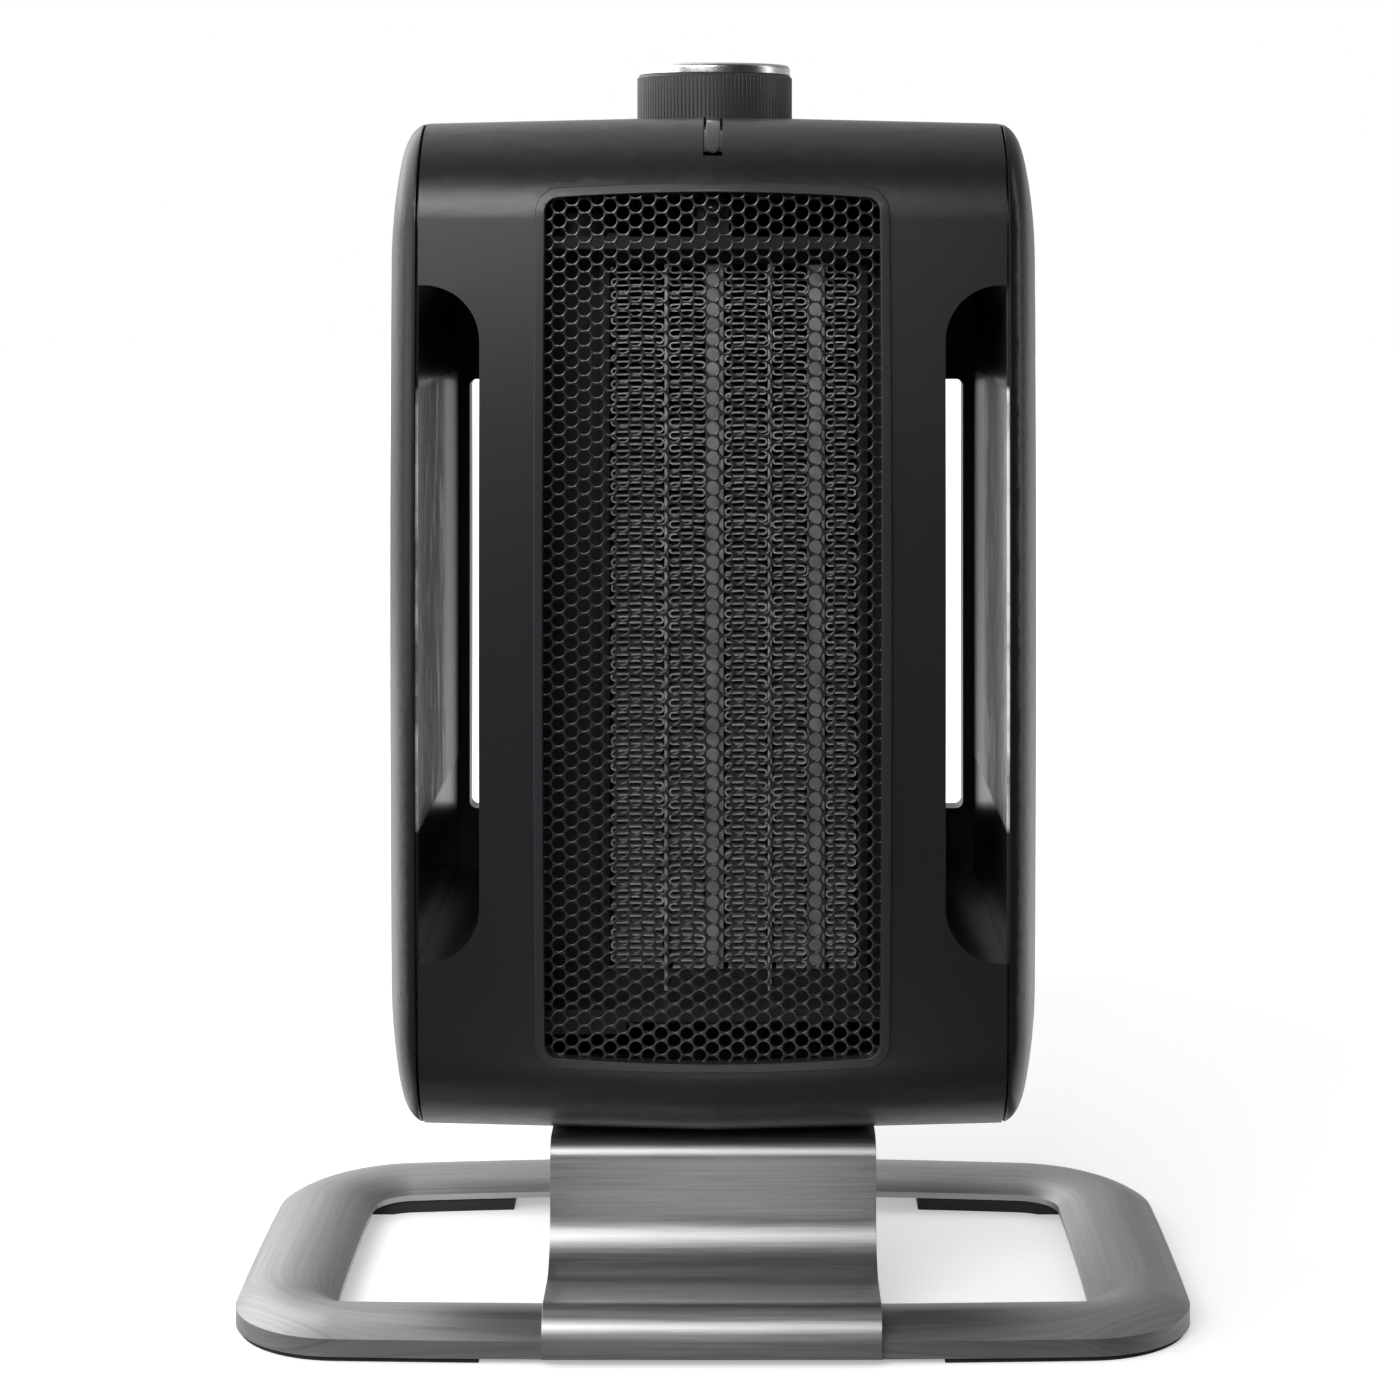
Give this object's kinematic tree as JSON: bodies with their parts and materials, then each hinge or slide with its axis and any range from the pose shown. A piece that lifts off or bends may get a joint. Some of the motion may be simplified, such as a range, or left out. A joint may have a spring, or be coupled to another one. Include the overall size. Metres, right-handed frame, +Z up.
{
  "type": "ceramic fan heater",
  "caption": "Upright ceramic fan heater with a honeycomb front guard, open side slots and a top knob, carried by a bent metal strap on a flat ring stand.",
  "frame": {"origin": "on the table, under the middle of the ring stand", "axes": "+X to the object's right seen from the front, +Y to the back, +Z up; the front faces -Y"},
  "size_m": [0.242, 0.1534, 0.3212],
  "materials": {
    "brushed_metal": "brushed, satin",
    "rubber": "matte",
    "casing_black": "satin",
    "cover_black": "satin",
    "liner_black": "fine grain",
    "bezel_grey": "satin paint",
    "guard_black": "satin paint",
    "inner_black": "matte",
    "fin_aluminium": "bare",
    "plate_steel": "bare",
    "holder_white": "matte",
    "holder_black": "matte",
    "steel": "machined",
    "motor_iron": "oiled",
    "copper_tape": "taped winding",
    "bronze": "sintered",
    "knob_black": "satin",
    "cap_silver": "anodised, satin",
    "lens_clear": "smoked",
    "lamp_glass": "clear"
  },
  "bodies": {
    "casing": {"base_feet": "rubber", "base_ring": "brushed_metal", "case_screws": "steel", "ceramic_bar_1": "plate_steel", "ceramic_bar_2": "plate_steel", "cord_gland": "rubber", "cutoff_wall": "inner_black", "duct_ceiling": "inner_black", "duct_floor": "inner_black", "element_frame": "inner_black", "element_holder_bottom": "holder_black", "element_holder_top": "holder_black", "element_rail_left": "fin_aluminium", "element_rail_right": "fin_aluminium", "fin_pack_1": "fin_aluminium", "fin_pack_2": "fin_aluminium", "fin_pack_3": "fin_aluminium", "fin_pack_4": "fin_aluminium", "fin_pack_5": "fin_aluminium", "flange_screws": "steel", "front_grille": "guard_black", "gland_nut": "inner_black", "grille_bezel": "bezel_grey", "lamp_holder": "inner_black", "left_cover": "cover_black", "left_liner": "liner_black", "left_shell": "casing_black", "lower_yoke": "steel", "motor_bushes": "bronze", "motor_coil": "copper_tape", "motor_core": "motor_iron", "motor_screws": "steel", "pilot_lamp": "lamp_glass", "pilot_lens": "lens_clear", "rear_grille": "inner_black", "right_cover": "cover_black", "right_liner": "liner_black", "right_shell": "casing_black", "scroll_wall": "inner_black", "strap": "brushed_metal", "strap_nuts": "steel", "strap_saddle": "inner_black", "strap_studs": "steel", "switch_body": "inner_black", "switch_nut": "steel", "terminal_block": "holder_white", "terminal_plate_1": "plate_steel", "terminal_plate_2": "plate_steel", "thermal_cutout": "inner_black", "tilt_bracket": "inner_black", "tilt_pin": "steel", "upper_bush": "bronze", "upper_yoke": "steel"},
    "knob": {"knob": "knob_black", "knob_cap": "cap_silver", "switch_spindle": "steel"},
    "fan": {"fan_drum": "inner_black", "fan_shaft": "steel", "motor_rotor": "motor_iron"},
    "tilt_weight": {"tilt_weight": "motor_iron"}
  },
  "joints": [
    {"name": "knob_turn", "type": "hinge", "parent": "casing", "child": "knob", "pos_m": [0, 0.004, 0.31], "axis": [0, 0, 1], "range_deg": [-270, 0]},
    {"name": "fan_spin", "type": "hinge", "parent": "casing", "child": "fan", "pos_m": [0.005, 0.022, 0.17], "axis": [0, 0, 1], "continuous": true},
    {"name": "tilt_swing", "type": "hinge", "parent": "casing", "child": "tilt_weight", "pos_m": [-0.05, 0.016, 0.0705], "axis": [1, 0, 0], "range_deg": [-40, 40]}
  ]
}
